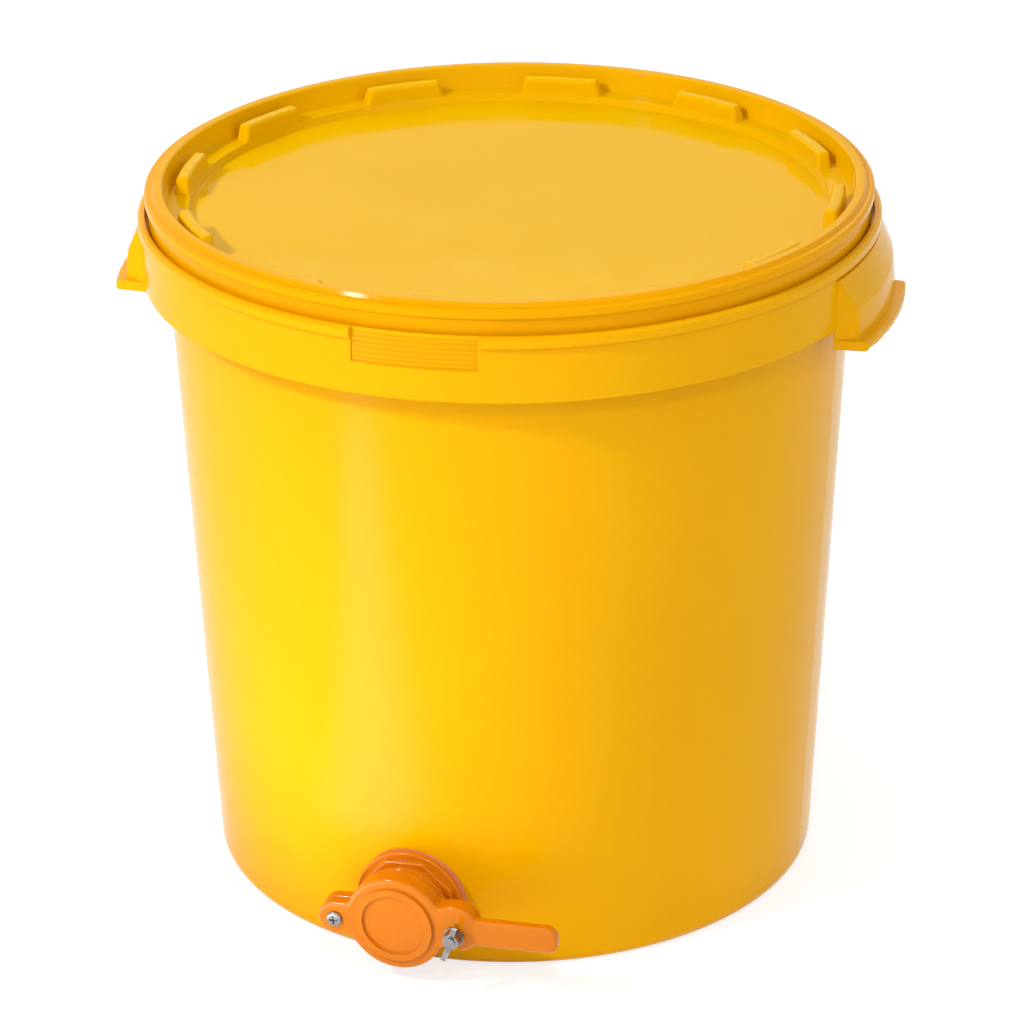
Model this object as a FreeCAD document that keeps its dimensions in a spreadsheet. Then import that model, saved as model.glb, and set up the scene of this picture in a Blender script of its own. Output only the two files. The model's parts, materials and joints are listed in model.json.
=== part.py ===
"""Honey tank: a stacking plastic pail with a recessed lid and a swinging honey gate.

The origin is the centre of the base on the floor, +Z is up and the gate looks towards -Y.
Lengths are millimetres and angles degrees. A turn about the tank is counted from -Y towards +X.
"""
import FreeCAD, Part
import math
import os
import re
import Sketcher
from FreeCAD import Placement, Rotation, Vector

SIZES = {
    # Pail: wall, base and rim
    "pail_height": 372.0,
    "foot_radius": 161.0,
    "wall_draft": 2.85,
    "wall": 2.2,
    "foot_round": 6.0,
    "foot_ring_width": 14.0,
    "base_recess": 1.8,
    "base_thickness": 2.5,
    "base_pad_radius": 24.0,
    "floor_round": 3.0,
    "rim_step": 5.0,
    "rim_wall": 2.4,
    "rim_bead": 0.6,
    "bead_depth": 5.0,
    "mouth_flare": 10.0,
    "flange_depth": 18.5,
    "flange_thickness": 2.7,
    # Pail: skirt with its lip and ribs
    "skirt_reach": 6.4,
    "skirt_wall": 2.5,
    "skirt_drop": 26.2,
    "lip_reach": 2.0,
    "lip_wall": 3.6,
    "lip_height": 5.6,
    "lip_bevel": 1.5,
    "rib_thickness": 1.8,
    "rib_drop": 19.5,
    "rib_count": 9,
    "rib_arc": 138.0,
    "rib_sink": 0.8,
    # Pail: lifting grips and the opening panel, which share one turn of the mould
    "mould_turn": 4.8,
    "grip_drop": 10.8,
    "grip_root_half": 17.0,
    "grip_face_half": 14.9,
    "grip_reach": 10.3,
    "grip_lean": 1.8,
    "grip_shoulder": 16.5,
    "grip_head_gap": 2.4,
    "grip_head_reach": 1.5,
    "grip_wall": 2.4,
    "grip_edge_round": 2.0,
    "finger_lip_reach": 5.0,
    "finger_lip_height": 5.0,
    "finger_lip_half": 12.4,
    "finger_lip_turn": 2.8,
    "finger_lip_round": 1.6,
    "panel_half": 9.6,
    "panel_height": 18.0,
    "panel_sink": 0.8,
    "ridge_height": 0.5,
    "ridge_width": 1.1,
    "ridge_pitch": 2.6,
    "ridge_count": 6,
    # Lid
    "lid_wall": 2.2,
    "lid_skirt_wall": 2.0,
    "plug_clearance": 0.9,
    "plug_taper": 1.7,
    "snap_clearance": 0.5,
    "lid_lift_clearance": 1.4,
    "lid_shoulder": 1.3,
    "lid_shoulder_depth": 4.6,
    "lid_crest_width": 3.8,
    "lid_panel_depth": 11.7,
    "lid_ledge_rise": 4.0,
    "lid_ledge_width": 11.7,
    "stack_clearance": 3.6,
    "block_turn": 9.2,
    "block_count": 12,
    "block_width": 8.0,
    "block_height": 8.7,
    "block_base_half": 7.8,
    "block_top_half": 6.8,
    "block_lean": 0.6,
    "block_round": 2.2,
    "block_shell": 2.0,
    "seal_height": 2.6,
    "seal_gap": 0.2,
    # Gate: body, gaskets and nut
    "gate_height": 37.7,
    "gate_turn": 3.5,
    "stem_radius": 22.5,
    "stem_end": 18.0,
    "bore_radius": 18.5,
    "hole_clearance": 0.8,
    "gasket_outer": 28.4,
    "gasket_inner": 24.5,
    "gasket_squeeze": 2.2,
    "gasket_gap": 0.05,
    "collar_radius": 28.8,
    "collar_thickness": 3.0,
    "flats": 49.2,
    "flats_thickness": 2.6,
    "bead_back": 10.6,
    "bead_radius": 24.0,
    "bead_thickness": 2.4,
    "plate_front": 21.2,
    "plate_thickness": 6.0,
    "plate_radius": 25.5,
    "plate_round": 1.2,
    "ring_round": 0.8,
    "join_round": 3.0,
    "pivot_x": -32.7,
    "ear_radius": 9.3,
    "lobe_x": 32.3,
    "lobe_z": 0.6,
    "body_lobe_radius": 10.8,
    "groove_radius": 20.2,
    "groove_width": 2.8,
    "groove_deep": 1.9,
    "seat_proud": 0.1,
    "seat_side_gap": 0.1,
    "nut_face": 5.9,
    "nut_thickness": 8.0,
    "nut_flats": 58.0,
    "thread_clearance": 0.2,
    # Gate: shutter
    "shutter_gap": 0.3,
    "shutter_thickness": 6.5,
    "shutter_radius": 26.2,
    "shutter_round": 1.8,
    "lobe_radius": 13.0,
    "ring_outer": 20.9,
    "ring_inner": 17.1,
    "ring_height": 1.6,
    "handle_end": 87.5,
    "handle_width": 14.8,
    "handle_thickness": 4.4,
    "handle_corner": 6.0,
    "handle_z": -0.5,
    "handle_join": 1.5,
    "shutter_back_round": 0.6,
    "notch_width": 5.8,
    "notch_mouth": 11.0,
    # Gate: pivot and clamp
    "pivot_shank": 2.0,
    "pivot_fit": 0.05,
    "pivot_head_radius": 4.25,
    "pivot_head_height": 2.0,
    "pivot_head_round": 1.4,
    "head_gap": 0.1,
    "cross_length": 4.6,
    "cross_width": 1.0,
    "cross_deep": 1.4,
    "pivot_nut_flats": 7.0,
    "pivot_nut_height": 5.0,
    "thread_show": 1.0,
    "stud_radius": 2.5,
    "stud_z": -3.1,
    "stud_clearance": 0.1,
    "stud_show": 0.6,
    "stud_head_flats": 8.0,
    "stud_head_height": 3.5,
    "washer_radius": 5.45,
    "washer_thickness": 1.0,
    "washer_gap": 0.2,
    "turning_gap": 0.05,
    "wing_base_radius": 5.0,
    "wing_base_height": 5.0,
    "wing_taper": 0.8,
    "wing_span": 22.0,
    "wing_thickness": 2.4,
    "wing_rise": 2.0,
    "wing_tip_height": 4.5,
    "wing_turn": 67.0,
    "wing_round": 1.1,
}

doc = FreeCAD.newDocument("HoneyTank")
sheet = doc.addObject("Spreadsheet::Sheet", "Sizes")
for row, (alias, number) in enumerate(SIZES.items(), 1):
    sheet.set(f"A{row}", alias)
    sheet.set(f"B{row}", str(number))
    sheet.setAlias(f"B{row}", alias)
doc.recompute()


# Helpers: sizes, sketches and features

def bound(text):
    """An expression in which each size name points at its cell of the sheet."""
    return re.sub(r"[a-z][a-z_]*", lambda word: "Sizes." + word[0] if word[0] in SIZES else word[0], text)


def bind(thing, path, text):
    thing.setExpression(path, bound(text))


def new_body(name):
    body = doc.addObject("PartDesign::Body", name)
    body.Label = name
    return body


def new_sketch(body, name, role, lift="0", turn="0"):
    """A sketch on one of the body's origin planes, lifted along its normal and turned about it."""
    sketch = body.newObject("Sketcher::SketchObject", name)
    plane = next(item for item in body.Origin.OriginFeatures if item.Role == role)
    sketch.AttachmentSupport = (plane, [""])
    sketch.MapMode = "FlatFace"
    sketch.AttachmentOffset = Placement(Vector(0, 0, 0), Rotation(Vector(0, 0, 1), 1.0))
    bind(sketch, "AttachmentOffset.Base.z", lift)
    bind(sketch, "AttachmentOffset.Rotation.Angle", turn)
    return sketch


def hold(sketch, kind, geometry, point, text):
    """A driven distance from the sketch's origin to a point."""
    index = sketch.addConstraint(Sketcher.Constraint(kind, -1, 1, geometry, point, 1.0))
    bind(sketch, f"Constraints[{index}]", text)


def outline(sketch, corners):
    """A closed run of straight lines through the corners, each given as (across, up)."""
    count = len(corners)
    rough = []
    for index in range(count):
        angle = 2 * math.pi * index / count
        rough.append(Vector(50 + 40 * math.cos(angle), 50 + 40 * math.sin(angle), 0))
    first = sketch.GeometryCount
    for index in range(count):
        sketch.addGeometry(Part.LineSegment(rough[index], rough[(index + 1) % count]), False)
    for index in range(count):
        after = first + (index + 1) % count
        sketch.addConstraint(Sketcher.Constraint("Coincident", first + index, 2, after, 1))
    for index, (across, up) in enumerate(corners):
        hold(sketch, "DistanceX", first + index, 1, across)
        hold(sketch, "DistanceY", first + index, 1, up)


def circle(sketch, radius, across="0", up="0"):
    index = sketch.addGeometry(Part.Circle(Vector(1, 1, 0), Vector(0, 0, 1), 5), False)
    hold(sketch, "DistanceX", index, 3, across)
    hold(sketch, "DistanceY", index, 3, up)
    size = sketch.addConstraint(Sketcher.Constraint("Radius", index, 5.0))
    bind(sketch, f"Constraints[{size}]", radius)


def bow(sketch, inner, inner_half, outer, outer_half):
    """Two arcs about the axis, joined by straight sides, symmetric about the sketch's X axis."""
    arcs = []
    for radius, half, rough in ((inner, inner_half, 150), (outer, outer_half, 200)):
        curve = Part.Circle(Vector(0, 0, 0), Vector(0, 0, 1), rough)
        arc = sketch.addGeometry(Part.ArcOfCircle(curve, -0.2, 0.2), False)
        sketch.addConstraint(Sketcher.Constraint("Coincident", arc, 3, -1, 1))
        size = sketch.addConstraint(Sketcher.Constraint("Radius", arc, float(rough)))
        bind(sketch, f"Constraints[{size}]", radius)
        hold(sketch, "DistanceY", arc, 1, f"-({radius}) * sin({half})")
        hold(sketch, "DistanceY", arc, 2, f"({radius}) * sin({half})")
        arcs.append(arc)
    for end in (1, 2):
        points = [sketch.getPoint(arc, end) for arc in arcs]
        side = sketch.addGeometry(Part.LineSegment(points[0], points[1]), False)
        sketch.addConstraint(Sketcher.Constraint("Coincident", side, 1, arcs[0], end))
        sketch.addConstraint(Sketcher.Constraint("Coincident", side, 2, arcs[1], end))


def turned(body, name, corners):
    """A solid of revolution about Z from its half section, given as (radius, height)."""
    sketch = new_sketch(body, name + "_section", "XZ_Plane")
    outline(sketch, corners)
    feature = body.newObject("PartDesign::Revolution", name)
    feature.Profile = sketch
    feature.ReferenceAxis = (sketch, ["V_Axis"])
    feature.Angle = 360
    return feature


def pad(body, name, sketch, length):
    feature = body.newObject("PartDesign::Pad", name)
    feature.Profile = sketch
    bind(feature, "Length", length)
    return feature


def pocket(body, name, sketch, length):
    """A cut from the sketch against its normal."""
    feature = body.newObject("PartDesign::Pocket", name)
    feature.Profile = sketch
    bind(feature, "Length", length)
    return feature


def loft(body, name, kind, sections):
    """A ruled loft through bows, each given as (height, turn, inner, half, outer, half)."""
    sketches = []
    for index, (height, turn, inner, inner_half, outer, outer_half) in enumerate(sections):
        sketch = new_sketch(body, f"{name}_plan{index}", "XY_Plane", height, turn)
        bow(sketch, inner, inner_half, outer, outer_half)
        sketches.append(sketch)
    feature = body.newObject(f"PartDesign::{kind}Loft", name)
    feature.Profile = sketches[0]
    feature.Sections = sketches[1:]
    feature.Ruled = True
    return feature


def around(body, name, features, count, arc="360"):
    """Copies of features turned about the axis."""
    pattern = body.newObject("PartDesign::PolarPattern", name)
    pattern.Originals = features
    pattern.Axis = (features[0].Profile[0], ["N_Axis"])
    bind(pattern, "Angle", arc)
    bind(pattern, "Occurrences", count)
    body.Tip = pattern
    return pattern


def stacked(body, name, features, count, length):
    """Copies of features moved up along the axis."""
    pattern = body.newObject("PartDesign::LinearPattern", name)
    pattern.Originals = features
    pattern.Direction = (features[0].Profile[0], ["N_Axis"])
    bind(pattern, "Length", length)
    bind(pattern, "Occurrences", count)
    body.Tip = pattern
    return pattern


def fillet(body, name, radius, wanted):
    """Rounds the edges of the body's shape that a test picks."""
    doc.recompute()
    base = body.Tip
    edges = [f"Edge{index}" for index, edge in enumerate(base.Shape.Edges, 1) if wanted(edge)]
    feature = body.newObject("PartDesign::Fillet", name)
    feature.Base = (base, edges)
    bind(feature, "Radius", radius)
    body.Tip = feature
    return feature


def is_ring(edge, radius, height):
    """Whether an edge is a full circle about Z with this radius and height."""
    if not isinstance(edge.Curve, Part.Circle):
        return False
    spot = edge.Curve.Center
    return abs(edge.Curve.Radius - radius) < 0.01 and abs(spot.z - height) < 0.01


def is_outside(edge, nearest, farthest):
    """Whether an edge's ends are between two distances from the Z axis."""
    return all(nearest < math.hypot(vertex.Point.x, vertex.Point.y) < farthest
               for vertex in edge.Vertexes)


def is_post(edge, nearest, farthest):
    """Whether an edge runs straight along Y, with its X between two values."""
    if not isinstance(edge.Curve, Part.Line):
        return False
    first, last = (vertex.Point for vertex in edge.Vertexes)
    return abs(first.x - last.x) + abs(first.z - last.z) < 0.01 and nearest < first.x < farthest


def is_at(edge, height, nearest=-math.inf):
    """Whether an edge of a gate piece lies at this height off the wall, past an X."""
    return all(abs(vertex.Point.y + height) < 0.01 and vertex.Point.x > nearest
               for vertex in edge.Vertexes)


def is_round(edge, name):
    """Whether an edge is an arc or circle of a size's radius."""
    return isinstance(edge.Curve, Part.Circle) and abs(edge.Curve.Radius - size(name)) < 0.01


def size(name):
    return float(sheet.get(name))


# The lines that several pieces share, as expressions of the sizes

def wall_at(height):
    """Radius of the pail's outer wall at a height."""
    return f"(foot_radius + ({height}) * tan(wall_draft))"


FLANGE = "(pail_height - flange_depth)"
GROOVE = f"({FLANGE} + flange_thickness)"
RIM = f"({wall_at(FLANGE)} + rim_step)"
MOUTH = f"({RIM} - rim_wall)"
SKIRT = f"({RIM} + skirt_reach)"
SKIRT_BOTTOM = f"({FLANGE} - skirt_drop)"
LIP = f"({SKIRT} + lip_reach)"
LIP_TOP = f"({GROOVE} + lip_height)"
FLOOR = "(base_recess + base_thickness)"


def make_pail():
    """Wall, base, rim, flange and skirt in one moulding, with ribs, grips, panel and gate hole."""
    body = new_body("pail")
    turned(body, "shell", [
        ("0", "0"),
        ("base_pad_radius", "0"),
        ("base_pad_radius + base_recess", "base_recess"),
        ("foot_radius - foot_ring_width - base_recess", "base_recess"),
        ("foot_radius - foot_ring_width", "0"),
        ("foot_radius", "0"),
        (wall_at(FLANGE), FLANGE),
        (f"{SKIRT} - skirt_wall", FLANGE),
        (f"{SKIRT} - skirt_wall", SKIRT_BOTTOM),
        (SKIRT, SKIRT_BOTTOM),
        (SKIRT, GROOVE),
        (LIP, GROOVE),
        (LIP, f"{LIP_TOP} - lip_bevel"),
        (f"{LIP} - lip_bevel", LIP_TOP),
        (f"{LIP} - lip_wall", LIP_TOP),
        (f"{LIP} - lip_wall", GROOVE),
        (RIM, GROOVE),
        (RIM, "pail_height - bead_depth"),
        (f"{RIM} + rim_bead", "pail_height - bead_depth + rim_bead"),
        (f"{RIM} + rim_bead", "pail_height - lip_bevel"),
        (f"{RIM} - rim_bead", "pail_height"),
        (MOUTH, "pail_height"),
        (f"{MOUTH} - rim_bead", f"{FLANGE} + mouth_flare - wall"),
        (f"{wall_at(FLANGE)} - wall", f"{FLANGE} - wall"),
        (f"{wall_at(FLOOR)} - wall", FLOOR),
        ("0", FLOOR),
    ])
    fillet(body, "foot_corner", "foot_round", lambda edge: is_ring(edge, size("foot_radius"), 0.0))
    floor = size("base_recess") + size("base_thickness")
    inside = size("foot_radius") + floor * math.tan(math.radians(size("wall_draft"))) - size("wall")
    fillet(body, "floor_corner", "floor_round", lambda edge: is_ring(edge, inside, floor))
    make_ribs(body)
    make_grips(body)
    make_opening_panel(body)
    make_gate_hole(body)
    return body


def make_ribs(body):
    """Upright webs that tie the skirt to the wall, in the two stretches between the grips."""
    sketch = new_sketch(body, "rib_plan", "XY_Plane", f"{FLANGE} - rib_drop",
                        "mould_turn + 90 - rib_arc / 2")
    near = f"({wall_at(FLANGE + ' - rib_drop')} - rib_sink)"
    far = f"({SKIRT} - skirt_wall + rib_sink)"
    half = "(rib_thickness / 2)"
    for sign in ("", "-"):
        outline(sketch, [
            (f"{sign}{near}", f"-{half}"),
            (f"{sign}{far}", f"-{half}"),
            (f"{sign}{far}", half),
            (f"{sign}{near}", half),
        ])
    rib = pad(body, "rib", sketch, f"rib_drop + flange_thickness / 2")
    around(body, "ribs", [rib], "rib_count", "rib_arc")


def make_grips(body):
    """Two lifting grips: the skirt bulges out over a hollow and ends below in a finger lip."""
    bottom = f"({SKIRT_BOTTOM} - grip_drop)"
    shoulder = f"({FLANGE} - grip_shoulder)"
    head = f"({GROOVE} - grip_head_gap)"
    root = f"({SKIRT} - skirt_wall / 2)"
    face_low = f"({SKIRT} + grip_reach)"
    face_high = f"({face_low} - grip_lean)"
    outside = [
        (bottom, "mould_turn", root, "grip_root_half", face_low, "grip_face_half"),
        (shoulder, "mould_turn", root, "grip_root_half", face_high, "grip_face_half"),
        (head, "mould_turn", root, "grip_root_half", f"{SKIRT} + grip_head_reach", "grip_root_half"),
    ]
    bulge = loft(body, "grip", "Additive", outside)
    around(body, "grips", [bulge], "2")
    for name, turn in (("right_finger_lip", "mould_turn - finger_lip_turn"),
                       ("left_finger_lip", "mould_turn + finger_lip_turn + 180")):
        plan = new_sketch(body, name + "_plan", "XY_Plane", bottom, turn)
        bow(plan, root, "grip_root_half - finger_lip_turn", f"{face_low} + finger_lip_reach",
            "finger_lip_half")
        pad(body, name, plan, "finger_lip_height")
    skirt = (size("foot_radius") + (size("pail_height") - size("flange_depth"))
             * math.tan(math.radians(size("wall_draft"))) + size("rim_step") + size("skirt_reach"))
    face = skirt + size("grip_reach")
    step = (size("pail_height") - size("flange_depth") - size("skirt_drop") - size("grip_drop")
            + size("finger_lip_height"))
    fillet(body, "grip_edges", "grip_edge_round",
           lambda edge: is_outside(edge, face - size("grip_lean") - 0.1, face + 1)
           and edge.BoundBox.ZMax > step + 1)
    fillet(body, "finger_lip_edges", "finger_lip_round",
           lambda edge: is_outside(edge, face + 1, math.inf))
    clear = f"({wall_at(FLANGE)} + rib_sink)"
    side = f"atan(grip_wall / {SKIRT})"
    hollow_half = f"(grip_root_half * 1 deg - {side})"
    hollow_face_half = f"(grip_face_half * 1 deg - {side})"
    hollow = loft(body, "hollow", "Subtractive", [
        (f"{bottom} - 1", "mould_turn", clear, hollow_half,
         f"{face_low} - grip_wall", hollow_face_half),
        (f"{shoulder} - grip_wall / 2", "mould_turn", clear, hollow_half,
         f"{face_high} - grip_wall", hollow_face_half),
        (f"{FLANGE} - grip_wall", "mould_turn", clear, hollow_half,
         f"{SKIRT} + grip_head_reach - grip_wall", hollow_half),
    ])
    around(body, "hollows", [hollow], "2")


def make_opening_panel(body):
    """A shallow ridged field in the lip and skirt, where the lid's edge is reached."""
    plan = new_sketch(body, "panel_plan", "XY_Plane", f"{LIP_TOP} + 1", "mould_turn - 90")
    back = f"({SKIRT} - panel_sink)"
    bow(plan, back, "panel_half", f"{LIP} + 1", "panel_half")
    pocket(body, "panel", plan, "panel_height + 1")
    ridge_plan = new_sketch(body, "ridge_plan", "XY_Plane",
                            f"{LIP_TOP} - panel_height + ridge_pitch / 2", "mould_turn - 90")
    bow(ridge_plan, f"{back} - 0.3", "panel_half", f"{back} + ridge_height", "panel_half - 0.4")
    ridge = pad(body, "ridge", ridge_plan, "ridge_width")
    stacked(body, "ridges", [ridge], "ridge_count", "ridge_pitch * (ridge_count - 1)")


def make_gate_hole(body):
    """The round hole for the gate's stem, square to the sloping wall."""
    plan = new_sketch(body, "gate_hole_plan", "XZ_Plane")
    plan.AttachmentOffset = Placement(Vector(0, 0, 0), Rotation(Vector(1, 0, 0), 1.0))
    bind(plan, "AttachmentOffset.Base.y", "gate_height - gasket_outer * sin(wall_draft)")
    bind(plan, "AttachmentOffset.Base.z", f"{wall_at('gate_height')} + gasket_outer * cos(wall_draft)")
    bind(plan, "AttachmentOffset.Rotation.Angle", "wall_draft")
    circle(plan, "stem_radius + hole_clearance")
    pocket(body, "gate_hole", plan, "2 * gasket_outer")


def make_lid():
    """One sheet-walled moulding: sunk panel, ledge with blocks, plug, channel and outer wall."""
    body = new_body("lid")
    panel = "(pail_height - lid_panel_depth)"
    ledge = f"({panel} + lid_ledge_rise)"
    panel_edge = "(foot_radius + stack_clearance)"
    ledge_edge = f"({panel_edge} + lid_ledge_width)"
    channel = "(pail_height + seal_height)"
    crest = f"({channel} + lid_wall)"
    plug = f"({MOUTH} - plug_clearance)"
    outer = f"({RIM} + rim_bead + snap_clearance)"
    bottom = f"({GROOVE} + lid_lift_clearance)"
    turned(body, "sheet", [
        ("0", panel),
        (panel_edge, panel),
        (f"{panel_edge} + 1", ledge),
        (ledge_edge, ledge),
        (f"{ledge_edge} + lid_wall", f"{crest} - 0.8"),
        (f"{ledge_edge} + lid_wall + 0.9", crest),
        (f"{ledge_edge} + lid_wall + 0.9 + lid_crest_width", crest),
        (f"{outer}", channel),
        (f"{outer} + lid_wall", channel),
        (f"{outer} + lid_skirt_wall + lid_shoulder", f"{channel} - 1.2"),
        (f"{outer} + lid_skirt_wall + lid_shoulder", f"{channel} - lid_shoulder_depth"),
        (f"{outer} + lid_skirt_wall", f"{channel} - lid_shoulder_depth - 0.5"),
        (f"{outer} + lid_skirt_wall", bottom),
        (outer, bottom),
        (outer, f"{channel} - lid_wall"),
        (f"{RIM} + 0.2", f"{channel} - lid_wall"),
        (f"{RIM} + 0.2", channel),
        (plug, channel),
        (plug, f"{ledge} - lid_wall - 0.6"),
        (f"{plug} - plug_taper", f"{ledge} - lid_wall - plug_taper"),
        (f"{ledge_edge} - 0.6", f"{ledge} - lid_wall - plug_taper"),
        (f"{ledge_edge} - 1.2", f"{ledge} - lid_wall"),
        (f"{panel_edge} + 1 + lid_wall", f"{ledge} - lid_wall"),
        (f"{panel_edge} + lid_wall", f"{panel} - lid_wall"),
        ("0", f"{panel} - lid_wall"),
    ])
    inner = f"({panel_edge} + 1)"
    outer_face = f"({inner} + block_width)"
    base = f"({ledge} - lid_wall / 2)"
    top = f"({ledge} + block_height)"
    block = loft(body, "block", "Additive", [
        (base, "block_turn", inner, "block_base_half", outer_face, "block_base_half"),
        (top, "block_turn", f"{inner} + block_lean", "block_top_half",
         f"{outer_face} - block_lean", "block_top_half"),
    ])
    around(body, "blocks", [block], "block_count")
    crown = size("pail_height") - size("lid_panel_depth") + size("lid_ledge_rise") + size("block_height")
    fillet(body, "block_edges", "block_round",
           lambda edge: any(abs(vertex.Point.z - crown) < 0.01 for vertex in edge.Vertexes))
    end = f"atan(block_shell / {inner})"
    core = loft(body, "core", "Subtractive", [
        (f"{ledge} - lid_wall - 1", "block_turn", f"{inner} + block_shell", f"(block_base_half * 1 deg - {end})",
         f"{outer_face} - block_shell", f"(block_base_half * 1 deg - {end})"),
        (f"{top} - block_shell", "block_turn", f"{inner} + block_lean + block_shell",
         f"(block_top_half * 1 deg - {end})", f"{outer_face} - block_lean - block_shell",
         f"(block_top_half * 1 deg - {end})"),
    ])
    around(body, "cores", [core], "block_count")
    return body


def make_lid_seal():
    """The soft ring in the lid's channel, resting on the pail's rim."""
    body = new_body("lid_seal")
    inner = f"({MOUTH} - rim_bead)"
    turned(body, "ring", [
        (inner, "pail_height + seal_gap"),
        (RIM, "pail_height + seal_gap"),
        (RIM, "pail_height + seal_height"),
        (inner, "pail_height + seal_height"),
    ])
    return body


# The gate: its pieces share one place on the wall. In it X is sideways, Z runs up the wall
# and -Y points out of the wall; a height off the wall is counted along -Y.

GATE_PLACE = ("placement(vector(0; -(foot_radius + gate_height * tan(wall_draft)); gate_height);"
              " rotation(vector(1; 0; 0); wall_draft) * rotation(vector(0; -1; 0); gate_turn))")
COLLAR_BACK = "gasket_squeeze"
COLLAR_FRONT = f"({COLLAR_BACK} + collar_thickness)"
FLATS_FRONT = f"({COLLAR_FRONT} + flats_thickness)"
PLATE_BACK = "(plate_front - plate_thickness)"
SHUTTER_BACK = "(plate_front + shutter_gap)"
SHUTTER_FRONT = f"({SHUTTER_BACK} + shutter_thickness)"
WASHER_BACK = f"({SHUTTER_FRONT} + washer_gap)"
WING_BACK = f"({WASHER_BACK} + washer_thickness + turning_gap)"
WING_FRONT = f"({WING_BACK} + wing_base_height)"


def gate_piece(name):
    body = new_body(name)
    bind(body, "Placement", GATE_PLACE)
    return body


def disc(body, name, radius, back, thickness, across="0", up="0"):
    """A round pad of the gate from its back outwards."""
    plan = new_sketch(body, name + "_plan", "XZ_Plane", back)
    circle(plan, radius, across, up)
    return pad(body, name, plan, thickness)


def drill(body, name, radius, front, depth, across="0", up="0"):
    """A round cut of the gate from its front inwards."""
    plan = new_sketch(body, name + "_plan", "XZ_Plane", front)
    circle(plan, radius, across, up)
    return pocket(body, name, plan, depth)


def polygon(sides, flats, across="0", up="0"):
    """The corners of a regular polygon, a flat on top."""
    corners = []
    for index in range(sides):
        angle = f"({180 / sides + 90 + index * 360 / sides})"
        reach = f"({flats}) / 2 / cos({180 / sides})"
        corners.append((f"({across}) + {reach} * cos{angle}", f"({up}) + {reach} * sin{angle}"))
    return corners


def prism(body, name, corners, back, thickness):
    plan = new_sketch(body, name + "_plan", "XZ_Plane", back)
    outline(plan, corners)
    return pad(body, name, plan, thickness)


def make_gate_body():
    """Stem, collar, wrench flats, barrel and front plate with its two lobes, bored through."""
    body = gate_piece("gate_body")
    disc(body, "stem", "stem_radius", "-stem_end", "stem_end + plate_front")
    disc(body, "collar", "collar_radius", COLLAR_BACK, "collar_thickness")
    prism(body, "wrench_flats", polygon(8, "flats"), COLLAR_FRONT, "flats_thickness")
    disc(body, "bead", "bead_radius", "bead_back", "bead_thickness")
    disc(body, "plate", "plate_radius", PLATE_BACK, "plate_thickness")
    disc(body, "ear", "ear_radius", PLATE_BACK, "plate_thickness", "pivot_x")
    disc(body, "lobe", "body_lobe_radius", PLATE_BACK, "plate_thickness", "lobe_x", "lobe_z")
    prism(body, "arms", [
        ("pivot_x", "-ear_radius"),
        ("lobe_x", "lobe_z - body_lobe_radius"),
        ("lobe_x", "lobe_z + body_lobe_radius"),
        ("pivot_x", "ear_radius"),
    ], PLATE_BACK, "plate_thickness")
    front = size("plate_front")
    back = front - size("plate_thickness")
    fillet(body, "joins", "join_round", lambda edge: is_post(edge, size("pivot_x"), size("lobe_x"))
           and abs(edge.Length - size("plate_thickness")) < 0.01)
    fillet(body, "plate_edges", "plate_round",
           lambda edge: is_at(edge, front) or (is_at(edge, back) and not is_round(edge, "stem_radius")))
    collar_front = size("gasket_squeeze") + size("collar_thickness")
    flats_front = collar_front + size("flats_thickness")
    fillet(body, "ring_edges", "ring_round",
           lambda edge: (is_at(edge, collar_front) and is_round(edge, "collar_radius"))
           or (is_at(edge, flats_front) and not is_round(edge, "stem_radius"))
           or is_round(edge, "bead_radius"))
    drill(body, "bore", "bore_radius", "plate_front", "plate_front + stem_end")
    groove = new_sketch(body, "seat_groove_plan", "XZ_Plane", "plate_front")
    circle(groove, "groove_radius")
    circle(groove, "groove_radius + groove_width")
    pocket(body, "seat_groove", groove, "groove_deep")
    drill(body, "pivot_hole", "pivot_shank + stud_clearance", "plate_front", "plate_thickness",
          "pivot_x")
    drill(body, "stud_hole", "stud_radius + stud_clearance", "plate_front", "plate_thickness",
          "lobe_x", "stud_z")
    return body


def make_seat_ring():
    """The soft ring in the plate's groove that the shutter closes on."""
    body = gate_piece("seat_ring")
    plan = new_sketch(body, "ring_plan", "XZ_Plane", "plate_front - groove_deep")
    circle(plan, "groove_radius + seat_side_gap")
    circle(plan, "groove_radius + groove_width - seat_side_gap")
    pad(body, "ring", plan, "groove_deep + seat_proud")
    return body


def make_gate_nut():
    """The nut on the stem inside the pail."""
    body = gate_piece("gate_nut")
    prism(body, "nut", polygon(8, "nut_flats"), "-nut_face - nut_thickness", "nut_thickness")
    drill(body, "thread_bore", "stem_radius + thread_clearance", "-nut_face", "nut_thickness")
    return body


def make_gasket(name, kind, back, thickness, radius_change):
    """A ring round the stem whose one side follows the round of the pail's wall."""
    ring = doc.addObject("Part::Cylinder", name + "_ring")
    hole = doc.addObject("Part::Cylinder", name + "_hole")
    for part, radius in ((ring, "gasket_outer"), (hole, "gasket_inner")):
        bind(part, "Radius", radius)
        bind(part, "Height", thickness)
        bind(part, "Placement",
             f"{GATE_PLACE} * placement(vector(0; -({back}); 0); rotation(vector(1; 0; 0); 90))")
    band = doc.addObject("Part::Cut", name + "_band")
    band.Base = ring
    band.Tool = hole
    side = doc.addObject("Part::Cone", name + "_wall")
    bind(side, "Radius1", f"foot_radius + {radius_change}")
    bind(side, "Radius2", f"{wall_at('2 * gate_height')} + {radius_change}")
    bind(side, "Height", "2 * gate_height")
    gasket = doc.addObject(f"Part::{kind}", name)
    gasket.Label = name
    if kind == "Cut":
        gasket.Base = band
        gasket.Tool = side
    else:
        gasket.Shapes = [band, side]
    return gasket


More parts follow.
